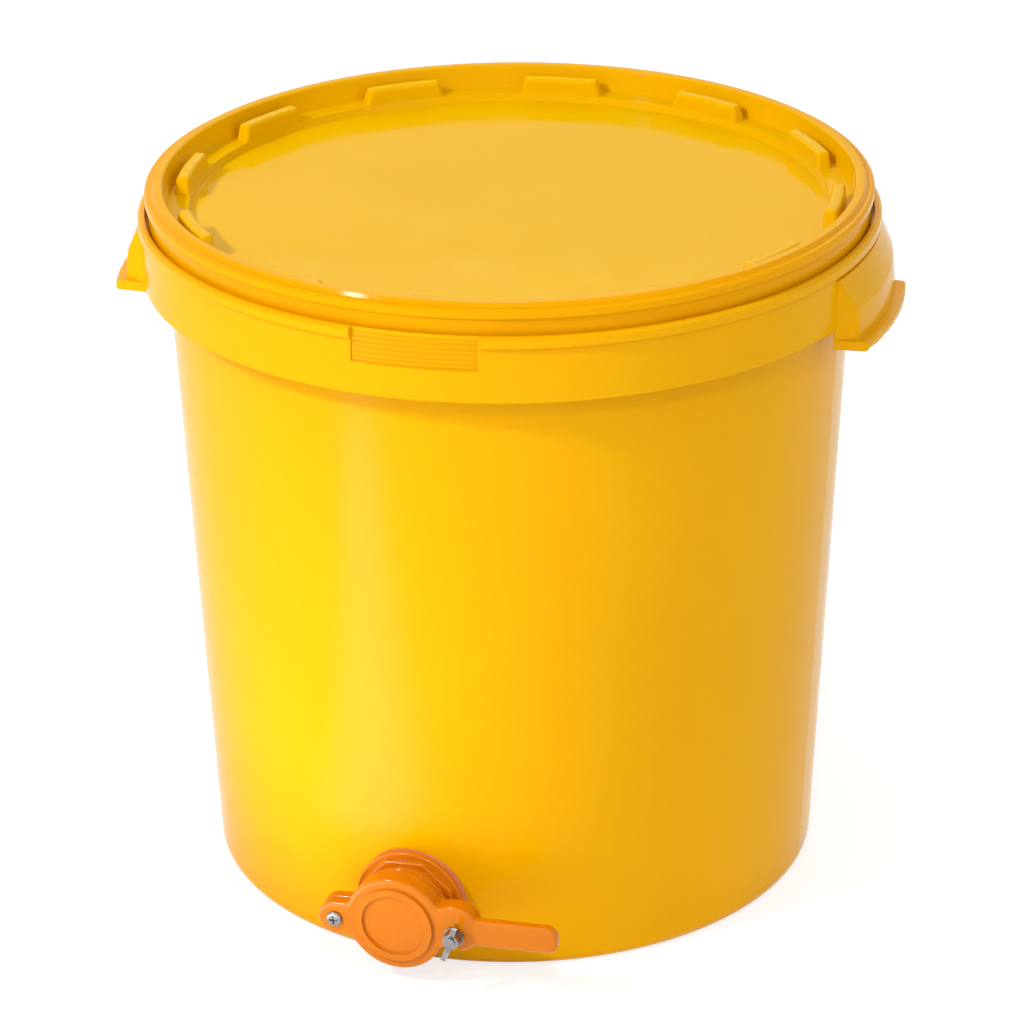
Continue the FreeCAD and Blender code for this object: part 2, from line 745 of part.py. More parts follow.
def make_shutter():
    """The swinging cover: disc with a raised ring, pivot ear, clamp lobe and flat handle."""
    body = gate_piece("shutter")
    disc(body, "cover", "shutter_radius", SHUTTER_BACK, "shutter_thickness")
    disc(body, "ear", "ear_radius", SHUTTER_BACK, "shutter_thickness", "pivot_x")
    disc(body, "lobe", "lobe_radius", SHUTTER_BACK, "shutter_thickness", "lobe_x", "lobe_z")
    prism(body, "arms", [
        ("pivot_x", "-ear_radius"),
        ("lobe_x", "lobe_z - ear_radius"),
        ("lobe_x", "lobe_z + ear_radius"),
        ("pivot_x", "ear_radius"),
    ], SHUTTER_BACK, "shutter_thickness")
    prism(body, "handle", [
        ("lobe_x", "handle_z - handle_width / 2"),
        ("handle_end", "handle_z - handle_width / 2"),
        ("handle_end", "handle_z + handle_width / 2"),
        ("lobe_x", "handle_z + handle_width / 2"),
    ], f"({SHUTTER_FRONT} - handle_thickness)", "handle_thickness")
    back = size("plate_front") + size("shutter_gap")
    front = back + size("shutter_thickness")
    end = size("handle_end")
    fillet(body, "joins", "join_round", lambda edge: is_post(edge, size("pivot_x"), size("lobe_x")))
    fillet(body, "handle_joins", "handle_join",
           lambda edge: is_post(edge, size("lobe_x") + 1, end - size("handle_width")))
    fillet(body, "handle_end", "handle_corner", lambda edge: is_post(edge, end - 0.1, end + 0.1))
    fillet(body, "front_edges", "shutter_round", lambda edge: is_at(edge, front))
    fillet(body, "back_edges", "shutter_back_round", lambda edge: is_at(edge, back))
    ring = new_sketch(body, "raised_ring_plan", "XZ_Plane", f"{SHUTTER_FRONT} - 0.5")
    circle(ring, "ring_inner")
    circle(ring, "ring_outer")
    pad(body, "raised_ring", ring, "ring_height + 0.5")
    drill(body, "pivot_hole", "pivot_shank + pivot_fit", SHUTTER_FRONT, "shutter_thickness", "pivot_x")
    make_notch(body)
    return body


def make_notch(body):
    """The slot that the stud enters as the shutter swings shut, an arc about the pivot."""
    drill(body, "notch_end", "notch_width / 2", SHUTTER_FRONT, "shutter_thickness", "lobe_x", "stud_z")
    reach = "sqrt((lobe_x - pivot_x) ^ 2 + stud_z ^ 2)"
    start = "atan(-stud_z / (lobe_x - pivot_x))"
    sweep = f"(lobe_radius / {reach} * 180 / pi * 1 deg)"
    plan = new_sketch(body, "notch_plan", "XZ_Plane", SHUTTER_FRONT)
    corners = []
    for side, steps in ((-1, (0, 0.5, 1.3)), (1, (1.3, 0.5, 0))):
        for step in steps:
            angle = f"({start} + {step} * {sweep})"
            width = f"(notch_width + (notch_mouth - notch_width) * {step * step / 1.69})"
            radius = f"({reach} + {side} * {width} / 2)"
            corners.append((f"pivot_x + {radius} * cos({angle})", f"-{radius} * sin({angle})"))
    outline(plan, corners)
    pocket(body, "notch", plan, "shutter_thickness")


def make_pivot_screw():
    """A pan-head screw with a cross recess that the shutter swings on."""
    body = gate_piece("pivot_screw")
    back = f"({PLATE_BACK} - pivot_nut_height - thread_show)"
    head = f"({SHUTTER_FRONT} + head_gap)"
    disc(body, "shank", "pivot_shank", back, f"{head} - {back}", "pivot_x")
    disc(body, "head", "pivot_head_radius", head, "pivot_head_height", "pivot_x")
    top = (size("plate_front") + size("shutter_gap") + size("shutter_thickness") + size("head_gap")
           + size("pivot_head_height"))
    fillet(body, "pan", "pivot_head_round", lambda edge: is_at(edge, top))
    front = f"({head} + pivot_head_height)"
    for name, long_way, short_way in (("slot_a", "cross_length", "cross_width"),
                                      ("slot_b", "cross_width", "cross_length")):
        plan = new_sketch(body, name + "_plan", "XZ_Plane", front)
        outline(plan, [
            (f"pivot_x - {long_way} / 2", f"-{short_way} / 2"),
            (f"pivot_x + {long_way} / 2", f"-{short_way} / 2"),
            (f"pivot_x + {long_way} / 2", f"{short_way} / 2"),
            (f"pivot_x - {long_way} / 2", f"{short_way} / 2"),
        ])
        pocket(body, name, plan, "cross_deep")
    return body


def make_pivot_nut():
    body = gate_piece("pivot_nut")
    back = f"({PLATE_BACK} - pivot_nut_height)"
    prism(body, "nut", polygon(6, "pivot_nut_flats", "pivot_x"), back, "pivot_nut_height")
    drill(body, "thread_bore", "pivot_shank + pivot_fit", PLATE_BACK, "pivot_nut_height", "pivot_x")
    return body


def make_clamp_bolt():
    """A hex bolt through the plate's lobe, its end standing out as the clamp's stud."""
    body = gate_piece("clamp_bolt")
    prism(body, "head", polygon(6, "stud_head_flats", "lobe_x", "stud_z"),
          f"{PLATE_BACK} - stud_head_height", "stud_head_height")
    disc(body, "stud", "stud_radius", PLATE_BACK,
         f"{WING_FRONT} + stud_show - {PLATE_BACK}", "lobe_x", "stud_z")
    return body


def make_clamp_washer():
    body = gate_piece("clamp_washer")
    plan = new_sketch(body, "washer_plan", "XZ_Plane", WASHER_BACK)
    circle(plan, "washer_radius", "lobe_x", "stud_z")
    circle(plan, "stud_radius + pivot_fit", "lobe_x", "stud_z")
    pad(body, "washer", plan, "washer_thickness")
    return body


def is_wing_end(edge, reach):
    """Whether an edge crosses the wings' thickness at their outer ends."""
    first, last = (vertex.Point for vertex in edge.Vertexes[:1] + edge.Vertexes[-1:])
    across = abs(first.x - last.x) + abs(first.y - last.y) < 0.01
    return across and abs(abs(first.x) - reach) < 0.01


def make_wing_nut():
    """A wing nut on the stud: its own X axis runs along the wings."""
    body = new_body("wing_nut")
    bind(body, "Placement", f"{GATE_PLACE} * placement(vector(lobe_x; 0; stud_z);"
                            " rotation(vector(0; -1; 0); wing_turn))")
    tip = "(wing_span / 2)"
    foot = f"({WING_BACK} + wing_base_height / 4)"
    plan = new_sketch(body, "wing_plan", "XY_Plane", "-wing_thickness / 2")
    outline(plan, [
        (f"-{tip}", f"-({foot} + wing_rise)"),
        (f"-{tip}", f"-({foot} + wing_rise + wing_tip_height)"),
        (f"-{tip} / 2", f"-({foot} + wing_rise + wing_tip_height * 0.8)"),
        ("-wing_base_radius / 2", f"-{WING_FRONT}"),
        ("wing_base_radius / 2", f"-{WING_FRONT}"),
        (f"{tip} / 2", f"-({foot} + wing_rise + wing_tip_height * 0.8)"),
        (tip, f"-({foot} + wing_rise + wing_tip_height)"),
        (tip, f"-({foot} + wing_rise)"),
        ("wing_base_radius", f"-{foot}"),
        ("-wing_base_radius", f"-{foot}"),
    ])
    pad(body, "wings", plan, "wing_thickness")
    fillet(body, "wing_tips", "wing_round", lambda edge: is_wing_end(edge, size("wing_span") / 2))
    section = new_sketch(body, "base_section", "XY_Plane")
    outline(section, [
        ("0", f"-{WING_BACK}"),
        ("wing_base_radius", f"-{WING_BACK}"),
        ("wing_base_radius - wing_taper", f"-{WING_FRONT}"),
        ("0", f"-{WING_FRONT}"),
    ])
    base = body.newObject("PartDesign::Revolution", "base")
    base.Profile = section
    base.ReferenceAxis = (section, ["V_Axis"])
    base.Angle = 360
    body.Tip = base
    drill(body, "thread_bore", "stud_radius + pivot_fit", WING_FRONT, "wing_base_height")
    return body


pieces = [
    make_pail(),
    make_lid(),
    make_lid_seal(),
    make_gate_body(),
    make_seat_ring(),
    make_gate_nut(),
    make_gasket("outer_gasket", "Cut", "-gasket_outer / 4", "gasket_squeeze + gasket_outer / 4",
                "gasket_gap"),
    make_gasket("inner_gasket", "MultiCommon", "-nut_face + gasket_gap", "nut_face",
                "-wall - gasket_gap"),
    make_shutter(),
    make_pivot_screw(),
    make_pivot_nut(),
    make_clamp_bolt(),
    make_clamp_washer(),
    make_wing_nut(),
]
doc.recompute()

for item in doc.Objects:
    if "Invalid" in item.State or "Error" in item.State:
        raise RuntimeError(f"{item.Label} did not build: {item.State}")
os.makedirs("parts", exist_ok=True)
for piece in pieces:
    if piece.Shape.isNull() or not piece.Shape.isValid():
        raise RuntimeError(f"{piece.Label} is not a valid solid")
for piece in pieces:
    piece.Shape.exportStep(f"parts/{piece.Label}.step")
    box = piece.Shape.BoundBox
    print(f"{piece.Label}: {len(piece.Shape.Solids)} solid, {piece.Shape.Volume / 1000:.2f} cm3,"
          f" x {box.XMin:.1f} {box.XMax:.1f} y {box.YMin:.1f} {box.YMax:.1f}"
          f" z {box.ZMin:.1f} {box.ZMax:.1f}")
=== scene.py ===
"""Dresses the honey tank: moulded plastics, soft seals, zinc-plated fasteners and their threads."""

import json
import math

import bpy
from bpy.props import FloatProperty, FloatVectorProperty, PointerProperty
from mathutils import Matrix, Vector


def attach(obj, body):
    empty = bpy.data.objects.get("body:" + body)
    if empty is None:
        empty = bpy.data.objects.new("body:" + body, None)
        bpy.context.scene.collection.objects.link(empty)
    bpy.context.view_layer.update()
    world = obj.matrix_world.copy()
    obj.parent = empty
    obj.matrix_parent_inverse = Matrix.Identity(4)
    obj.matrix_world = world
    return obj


bl_info = {
    "name": "Honey Tank Finishes",
    "version": (1, 0, 0),
    "blender": (4, 5, 0),
    "location": "3D View > Sidebar > Honey Tank",
    "description": "Camera, light, plastics and fastener threads of a honey tank",
    "category": "Object",
}

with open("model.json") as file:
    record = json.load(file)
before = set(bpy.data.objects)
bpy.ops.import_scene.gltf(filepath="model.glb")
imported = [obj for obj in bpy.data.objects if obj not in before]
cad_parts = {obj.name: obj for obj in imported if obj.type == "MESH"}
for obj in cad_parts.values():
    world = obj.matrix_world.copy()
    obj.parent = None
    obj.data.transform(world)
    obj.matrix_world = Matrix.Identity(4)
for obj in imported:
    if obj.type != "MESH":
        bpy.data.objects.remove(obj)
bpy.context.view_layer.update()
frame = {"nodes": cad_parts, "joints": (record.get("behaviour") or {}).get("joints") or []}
JOINTS = {joint["name"]: joint for joint in frame["joints"]}
GATE_AXIS = Vector(JOINTS["gate_swing"]["axis"]).normalized()
PIVOT = Vector(JOINTS["gate_swing"]["pos_m"])
STUD = Vector(JOINTS["wing_nut_turn"]["pos_m"])


def reach_along(node, start):
    """How far a node goes back and forward along the gate's axis, from a point."""
    steps = [(vertex.co - start).dot(GATE_AXIS) for vertex in frame["nodes"][node].data.vertices]
    return min(steps), max(steps)


def middle(node):
    """The centre of a node's box."""
    points = [vertex.co for vertex in frame["nodes"][node].data.vertices]
    low = Vector([min(point[axis] for point in points) for axis in range(3)])
    high = Vector([max(point[axis] for point in points) for axis in range(3)])
    return (low + high) / 2


BORE = middle("seat_ring")
STUD_RADIUS = 0.0025
SCREW_RADIUS = 0.002
STEM_RADIUS = 0.0225
# Radii over which the lid's colour turns into the deeper orange of the painted rim shade
SHADED_RIM_RADII = (0.176, 0.184)


# Settings that a user would change

class HoneyTankCamera(bpy.types.PropertyGroup):
    azimuth: FloatProperty(
        name="Azimuth", description="How far right of the gate the camera stands",
        default=math.radians(19.2), subtype="ANGLE")
    elevation: FloatProperty(
        name="Elevation", description="How far above the horizon the camera stands",
        default=math.radians(24.14), subtype="ANGLE")
    roll: FloatProperty(
        name="Roll", description="Turn of the camera about its view",
        default=math.radians(-0.613), subtype="ANGLE")
    distance: FloatProperty(
        name="Distance", description="Camera to the point that it looks at",
        default=2.2741, unit="LENGTH")
    target_height: FloatProperty(
        name="Target height", description="Height of the point that it looks at",
        default=0.18535, unit="LENGTH")
    target_side: FloatProperty(
        name="Target side", description="Sideways shift of the point that it looks at",
        default=-0.00044, unit="LENGTH")
    lens: FloatProperty(
        name="Lens", description="Focal length on a 36 mm sensor",
        default=149.69, subtype="DISTANCE_CAMERA")


class HoneyTankLight(bpy.types.PropertyGroup):
    key_power: FloatProperty(
        name="Key power", description="Main lamp, high at the left",
        default=32.0, subtype="POWER")
    front_power: FloatProperty(
        name="Front power", description="Small lamp above the camera",
        default=12.0, subtype="POWER")
    strip_power: FloatProperty(
        name="Strip power",
        description="Narrow lamp on the floor whose reflection runs up the wall",
        default=1.6, subtype="POWER")
    fill_power: FloatProperty(
        name="Fill power", description="Weak lamp at the right",
        default=4.0, subtype="POWER")
    back_power: FloatProperty(
        name="Back power", description="Weak lamp behind",
        default=13.0, subtype="POWER")
    world_strength: FloatProperty(
        name="World strength", description="Even light from all round",
        default=0.66, min=0.0)
    floor_glow: FloatProperty(
        name="Floor glow", description="Share of its own light in the floor that the camera sees",
        default=0.6, min=0.0, max=1.0)


class HoneyTankColours(bpy.types.PropertyGroup):
    pail: FloatVectorProperty(
        name="Pail", description="Yellow polypropylene of the pail",
        default=(0.80, 0.39, 0.0), size=3, subtype="COLOR")
    lid: FloatVectorProperty(
        name="Lid", description="Yellow polypropylene of the lid",
        default=(0.78, 0.43, 0.0), size=3, subtype="COLOR")
    # Painted shade: the deeper orange that the lid's rim is drawn in, standing in for its shade
    lid_rim_shade: FloatVectorProperty(
        name="Lid rim", description="Deeper yellow of the lid's thick rim",
        default=(0.80, 0.355, 0.0), size=3, subtype="COLOR")
    gate: FloatVectorProperty(
        name="Gate", description="Orange plastic of the gate",
        default=(0.64, 0.175, 0.001), size=3, subtype="COLOR")
    gasket: FloatVectorProperty(
        name="Gasket", description="Soft gaskets at the wall",
        default=(0.62, 0.20, 0.13), size=3, subtype="COLOR")
    seal: FloatVectorProperty(
        name="Seal", description="Pale soft seals",
        default=(0.70, 0.66, 0.58), size=3, subtype="COLOR")
    zinc: FloatVectorProperty(
        name="Zinc", description="Bright zinc plate",
        default=(0.34, 0.34, 0.345), size=3, subtype="COLOR")


class HoneyTankThread(bpy.types.PropertyGroup):
    depth_share: FloatProperty(
        name="Thread depth", description="Depth of a thread as a share of its pitch",
        default=0.32, min=0.1, max=0.6)
    screw_pitch: FloatProperty(
        name="Screw pitch", description="Pitch of the pivot screw's thread",
        default=0.0007, unit="LENGTH")
    stud_pitch: FloatProperty(
        name="Stud pitch", description="Pitch of the clamp bolt's thread",
        default=0.0008, unit="LENGTH")
    stem_pitch: FloatProperty(
        name="Stem pitch", description="Pitch of the gate stem's plastic thread",
        default=0.003, unit="LENGTH")


# Materials

NOISE_RANGE = (0.3, 0.7)
PLASTIC_IOR = 1.49
GLOW_DEPTH = 0.0015
GLOW_COLOURS = (1.0, 0.4, 0.05)
SOFT_EDGE = 0.0007


def new_material(name):
    """A material with its node tree, its shader and the object coordinates."""
    material = bpy.data.materials.new(name)
    material.use_nodes = True
    nodes = material.node_tree.nodes
    shader = nodes["Principled BSDF"]
    place = nodes.new("ShaderNodeTexCoord")
    return material, nodes, material.node_tree.links, shader, place.outputs["Object"]


def noise(nodes, links, place, scale, detail):
    """A soft random value, with a scale in waves a metre."""
    texture = nodes.new("ShaderNodeTexNoise")
    texture.inputs["Scale"].default_value = scale
    texture.inputs["Detail"].default_value = detail
    links.new(place, texture.inputs["Vector"])
    return texture.outputs["Fac"]


def spread(nodes, links, value, low, high):
    """Maps the usual range of a noise onto another range."""
    node = nodes.new("ShaderNodeMapRange")
    node.inputs["From Min"].default_value, node.inputs["From Max"].default_value = NOISE_RANGE
    node.inputs["To Min"].default_value = low
    node.inputs["To Max"].default_value = high
    links.new(value, node.inputs["Value"])
    return node.outputs["Result"]


def tint(nodes, links, colour, amount):
    """The colour made lighter or darker by an amount."""
    node = nodes.new("ShaderNodeHueSaturation")
    node.name = "Tint"
    node.inputs["Color"].default_value = (*colour, 1.0)
    links.new(amount, node.inputs["Value"])
    return node.outputs["Color"]


def bump(nodes, links, height, strength, distance, under=None):
    """A normal from a height, over another normal where one is given."""
    node = nodes.new("ShaderNodeBump")
    node.inputs["Strength"].default_value = strength
    node.inputs["Distance"].default_value = distance
    links.new(height, node.inputs["Height"])
    if under is not None:
        links.new(under, node.inputs["Normal"])
    return node.outputs["Normal"]


def moulded_plastic(name, colour, roughness, gloss, glow, grain):
    """Dyed plastic that light enters a little: slow colour change, fine skin, soft waves."""
    material, nodes, links, shader, place = new_material(name)
    slow = noise(nodes, links, place, scale=9.0, detail=2.0)
    links.new(tint(nodes, links, colour, spread(nodes, links, slow, 0.975, 1.02)),
              shader.inputs["Base Color"])
    handled = noise(nodes, links, place, scale=38.0, detail=4.0)
    links.new(spread(nodes, links, handled, roughness - 0.03, roughness + 0.05),
              shader.inputs["Roughness"])
    edges = nodes.new("ShaderNodeBevel")
    edges.samples = 4
    edges.inputs["Radius"].default_value = SOFT_EDGE
    wide = noise(nodes, links, place, scale=7.0, detail=0.0)
    waves = bump(nodes, links, wide, strength=0.2, distance=0.0002,
                 under=edges.outputs["Normal"])
    fine = noise(nodes, links, place, scale=grain, detail=3.0)
    skin = bump(nodes, links, fine, strength=0.18, distance=0.00005, under=waves)
    links.new(skin, shader.inputs["Normal"])
    shader.inputs["Subsurface Weight"].default_value = glow
    shader.inputs["Subsurface Radius"].default_value = GLOW_COLOURS
    shader.inputs["Subsurface Scale"].default_value = GLOW_DEPTH
    shader.inputs["Specular IOR Level"].default_value = gloss
    shader.inputs["IOR"].default_value = PLASTIC_IOR
    return material


def paint_rim_shade(material, colour, rim_shade_colour):
    """Blends a round piece's colour into a deeper orange towards its rim: painted shade, a ring
    drawn darker in place of the shade that falls there.
    """
    nodes, links = material.node_tree.nodes, material.node_tree.links
    flat = nodes.new("ShaderNodeVectorMath")
    flat.operation = "MULTIPLY"
    flat.inputs[1].default_value = (1, 1, 0)
    links.new(nodes["Texture Coordinate"].outputs["Object"], flat.inputs[0])
    radius = nodes.new("ShaderNodeVectorMath")
    radius.operation = "LENGTH"
    links.new(flat.outputs["Vector"], radius.inputs[0])
    share = nodes.new("ShaderNodeMapRange")
    share.inputs["From Min"].default_value, share.inputs["From Max"].default_value = SHADED_RIM_RADII
    links.new(radius.outputs["Value"], share.inputs["Value"])
    mix = nodes.new("ShaderNodeMixRGB")
    mix.inputs["Color1"].default_value = (*colour, 1.0)
    mix.inputs["Color2"].default_value = (*rim_shade_colour, 1.0)
    links.new(share.outputs["Result"], mix.inputs["Fac"])
    links.new(mix.outputs["Color"], nodes["Tint"].inputs["Color"])


def soft_rubber(name, colour):
    """Dull rubber with fine pores."""
    material, nodes, links, shader, place = new_material(name)
    slow = noise(nodes, links, place, scale=60.0, detail=3.0)
    links.new(tint(nodes, links, colour, spread(nodes, links, slow, 0.93, 1.05)),
              shader.inputs["Base Color"])
    shader.inputs["Roughness"].default_value = 0.62
    fine = noise(nodes, links, place, scale=1400.0, detail=2.0)
    pores = bump(nodes, links, fine, strength=0.35, distance=0.0001)
    links.new(pores, shader.inputs["Normal"])
    return material


def zinc_plate(name, colour):
    """Bright plated steel with faint turning marks and duller patches."""
    material, nodes, links, shader, place = new_material(name)
    patches = noise(nodes, links, place, scale=240.0, detail=4.0)
    links.new(tint(nodes, links, colour, spread(nodes, links, patches, 0.86, 1.04)),
              shader.inputs["Base Color"])
    links.new(spread(nodes, links, patches, 0.15, 0.28), shader.inputs["Roughness"])
    shader.inputs["Metallic"].default_value = 1.0
    fine = noise(nodes, links, place, scale=2600.0, detail=2.0)
    marks = bump(nodes, links, fine, strength=0.2, distance=0.00003)
    links.new(marks, shader.inputs["Normal"])
    return material


def wear(node, material):
    """Gives a node of the frame its finish."""
    mesh = frame["nodes"][node].data
    mesh.materials.clear()
    mesh.materials.append(material)


# Threads

def thread_tree(material):
    """A helical ridge along Z, from a radius, a pitch, a length and a depth."""
    tree = bpy.data.node_groups.new("Thread", "GeometryNodeTree")
    sockets = tree.interface
    sockets.new_socket("Geometry", in_out="OUTPUT", socket_type="NodeSocketGeometry")
    for name in ("Radius", "Pitch", "Length", "Depth"):
        sockets.new_socket(name, in_out="INPUT", socket_type="NodeSocketFloat")
    nodes, links = tree.nodes, tree.links
    given = nodes.new("NodeGroupInput").outputs
    turns = nodes.new("ShaderNodeMath")
    turns.operation = "DIVIDE"
    links.new(given["Length"], turns.inputs[0])
    links.new(given["Pitch"], turns.inputs[1])
    helix = nodes.new("GeometryNodeCurveSpiral")
    helix.inputs["Resolution"].default_value = 36
    links.new(turns.outputs[0], helix.inputs["Rotations"])
    links.new(given["Radius"], helix.inputs["Start Radius"])
    links.new(given["Radius"], helix.inputs["End Radius"])
    links.new(given["Length"], helix.inputs["Height"])
    ridge = nodes.new("GeometryNodeCurvePrimitiveCircle")
    ridge.inputs["Resolution"].default_value = 6
    links.new(given["Depth"], ridge.inputs["Radius"])
    sweep = nodes.new("GeometryNodeCurveToMesh")
    sweep.inputs["Fill Caps"].default_value = True
    links.new(helix.outputs["Curve"], sweep.inputs["Curve"])
    links.new(ridge.outputs["Curve"], sweep.inputs["Profile Curve"])
    whole = nodes.new("GeometryNodeRealizeInstances")
    links.new(sweep.outputs["Mesh"], whole.inputs["Geometry"])
    finish = nodes.new("GeometryNodeSetMaterial")
    finish.inputs["Material"].default_value = material
    links.new(whole.outputs["Geometry"], finish.inputs["Geometry"])
    out = nodes.new("NodeGroupOutput")
    links.new(finish.outputs["Geometry"], out.inputs["Geometry"])
    return tree


def cut_thread(name, tree, radius, pitch, share, start, length):
    """A thread ridge on a shank, from a start point outwards along the gate's axis."""
    depth = pitch * share
    margin = depth * 1.2
    sizes = {"Radius": radius - depth * 0.4, "Pitch": pitch, "Depth": depth,
             "Length": length - 2 * margin}
    carrier = bpy.data.objects.new(name + "_carrier", bpy.data.meshes.new(name))
    bpy.context.scene.collection.objects.link(carrier)
    modifier = carrier.modifiers.new("Thread", "NODES")
    modifier.node_group = tree
    for item in tree.interface.items_tree:
        if item.item_type == "SOCKET" and item.in_out == "INPUT":
            modifier[item.identifier] = sizes[item.name]
    graph = bpy.context.evaluated_depsgraph_get()
    mesh = bpy.data.meshes.new_from_object(carrier.evaluated_get(graph))
    bpy.data.objects.remove(carrier)
    turn = Vector((0, 0, 1)).rotation_difference(GATE_AXIS).to_matrix().to_4x4()
    mesh.transform(Matrix.Translation(start + GATE_AXIS * margin) @ turn)
    mesh.name = name
    ridge = bpy.data.objects.new(name, mesh)
    bpy.context.scene.collection.objects.link(ridge)
    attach(ridge, "tank")
    return ridge


# Operators

class HONEYTANK_OT_camera(bpy.types.Operator):
    """Place the camera where the photograph was taken"""
    bl_idname = "honeytank.camera"
    bl_label = "Place Camera"

    def execute(self, context):
        view = context.scene.honeytank_camera
        flat, rise = view.azimuth, view.elevation
        back = Vector((math.sin(flat) * math.cos(rise), -math.cos(flat) * math.cos(rise),
                       math.sin(rise)))
        right = Vector((math.cos(flat), math.sin(flat), 0))
        up = back.cross(right)
        rolled_right = math.cos(view.roll) * right + math.sin(view.roll) * up
        rolled_up = math.cos(view.roll) * up - math.sin(view.roll) * right
        spot = right * view.target_side + Vector((0, 0, view.target_height))
        data = bpy.data.cameras.new("camera")
        data.lens = view.lens
        data.sensor_width = 36
        data.clip_end = 20
        camera = bpy.data.objects.new("camera", data)
        context.scene.collection.objects.link(camera)
        turn = Matrix((rolled_right, rolled_up, back)).transposed().to_4x4()
        camera.matrix_world = Matrix.Translation(spot + back * view.distance) @ turn
        context.scene.camera = camera
        return {"FINISHED"}


class HONEYTANK_OT_pail(bpy.types.Operator):
    """Finish the pail in its yellow polypropylene"""
    bl_idname = "honeytank.pail"
    bl_label = "Finish Pail"

    def execute(self, context):
        colours = context.scene.honeytank_colours
        wear("pail", moulded_plastic("pail_yellow", colours.pail, roughness=0.16, gloss=0.06,
                                     glow=0.1, grain=900.0))
        return {"FINISHED"}


class HONEYTANK_OT_lid(bpy.types.Operator):
    """Finish the lid and its hidden seal"""
    bl_idname = "honeytank.lid"
    bl_label = "Finish Lid"

    def execute(self, context):
        colours = context.scene.honeytank_colours
        yellow = moulded_plastic("lid_yellow", colours.lid, roughness=0.09, gloss=0.04,
                                 glow=0.1, grain=900.0)
        # Paints shade onto the lid's rim as a deeper orange ring
        paint_rim_shade(yellow, colours.lid, colours.lid_rim_shade)
        wear("lid", yellow)
        wear("lid_seal", soft_rubber("lid_seal", colours.seal))
        return {"FINISHED"}


class HONEYTANK_OT_gate(bpy.types.Operator):
    """Finish the gate's mouldings, gaskets and seat ring"""
    bl_idname = "honeytank.gate"
    bl_label = "Finish Gate"

    def execute(self, context):
        colours = context.scene.honeytank_colours
        orange = moulded_plastic("gate_orange", colours.gate, roughness=0.11, gloss=0.28,
                                 glow=0.05, grain=1600.0)
        for node in ("gate_body", "shutter", "gate_nut"):
            wear(node, orange)
        pink = soft_rubber("gasket_pink", colours.gasket)
        wear("outer_gasket", pink)
        wear("inner_gasket", pink)
        wear("seat_ring", soft_rubber("seat_pale", colours.seal))
        return {"FINISHED"}


class HONEYTANK_OT_fasteners(bpy.types.Operator):
    """Finish the screw, bolt, nuts and washer, and cut their threads"""
    bl_idname = "honeytank.fasteners"
    bl_label = "Finish Fasteners"

    def execute(self, context):
        zinc = zinc_plate("bright_zinc", context.scene.honeytank_colours.zinc)
        for node in ("pivot_screw", "pivot_nut", "clamp_bolt", "clamp_washer", "wing_nut"):
            wear(node, zinc)
        thread = context.scene.honeytank_thread
        metal = thread_tree(zinc)
        plate_front = reach_along("gate_body", STUD)[1]
        washer_back = reach_along("clamp_washer", STUD)[0]
        cut_thread("stud_thread", metal, STUD_RADIUS, thread.stud_pitch, thread.depth_share,
                   STUD + GATE_AXIS * plate_front, washer_back - plate_front)
        screw_back = reach_along("pivot_screw", PIVOT)[0]
        nut_back = reach_along("pivot_nut", PIVOT)[0]
        cut_thread("screw_thread", metal, SCREW_RADIUS, thread.screw_pitch, thread.depth_share,
                   PIVOT + GATE_AXIS * screw_back, nut_back - screw_back)
        stem_back = reach_along("gate_body", BORE)[0]
        nut_back = reach_along("gate_nut", BORE)[0]
        cut_thread("stem_thread", thread_tree(bpy.data.materials["gate_orange"]), STEM_RADIUS,
                   thread.stem_pitch, thread.depth_share, BORE + GATE_AXIS * stem_back,
                   nut_back - stem_back)
        return {"FINISHED"}


PAIL_MIDDLE = (0, 0, 0.2)
STRIP_PLACE = (-0.222, -0.461)
STRIP_TURN = math.radians(-34)
FLOOR_HALF = 12.0
FLOOR_LIGHT = 1.22


class HONEYTANK_OT_stage(bpy.types.Operator):
    """Lay the pale floor and set the studio light"""
    bl_idname = "honeytank.stage"
    bl_label = "Set Stage"

    def execute(self, context):
        light = context.scene.honeytank_light
        lay_floor(light.floor_glow)
        light_world(light.world_strength)
        hang_lamp("key", (-1.14, -1.64, 1.9), PAIL_MIDDLE, (0.2, 0.2), light.key_power)
        hang_lamp("front", (0.68, -2.09, 2.1), PAIL_MIDDLE, (0.2, 0.2), light.front_power)
        side, front = STRIP_PLACE
        strip = hang_lamp("strip", (side, front, 0.002), (side, front, 1.0), (0.26, 0.50),
                          light.strip_power)
        strip.rotation_euler.z = STRIP_TURN
        strip.visible_camera = False
        fade_sides(strip)
        hang_lamp("fill", (1.9, -0.9, 0.9), PAIL_MIDDLE, (1.0, 1.2), light.fill_power)
        hang_lamp("back", (-0.5, 2.2, 1.9), PAIL_MIDDLE, (1.2, 1.0), light.back_power)
        context.scene.view_settings.view_transform = "Standard"
        return {"FINISHED"}


def seen_directly(nodes, links):
    """One for rays of the camera, of gloss and through glass, nothing for the rest."""
    path = nodes.new("ShaderNodeLightPath")
    total = path.outputs["Is Camera Ray"]
    for kind in ("Is Glossy Ray", "Is Transmission Ray"):
        either = nodes.new("ShaderNodeMath")
        either.operation = "MAXIMUM"
        links.new(total, either.inputs[0])
        links.new(path.outputs[kind], either.inputs[1])
        total = either.outputs[0]
    return total


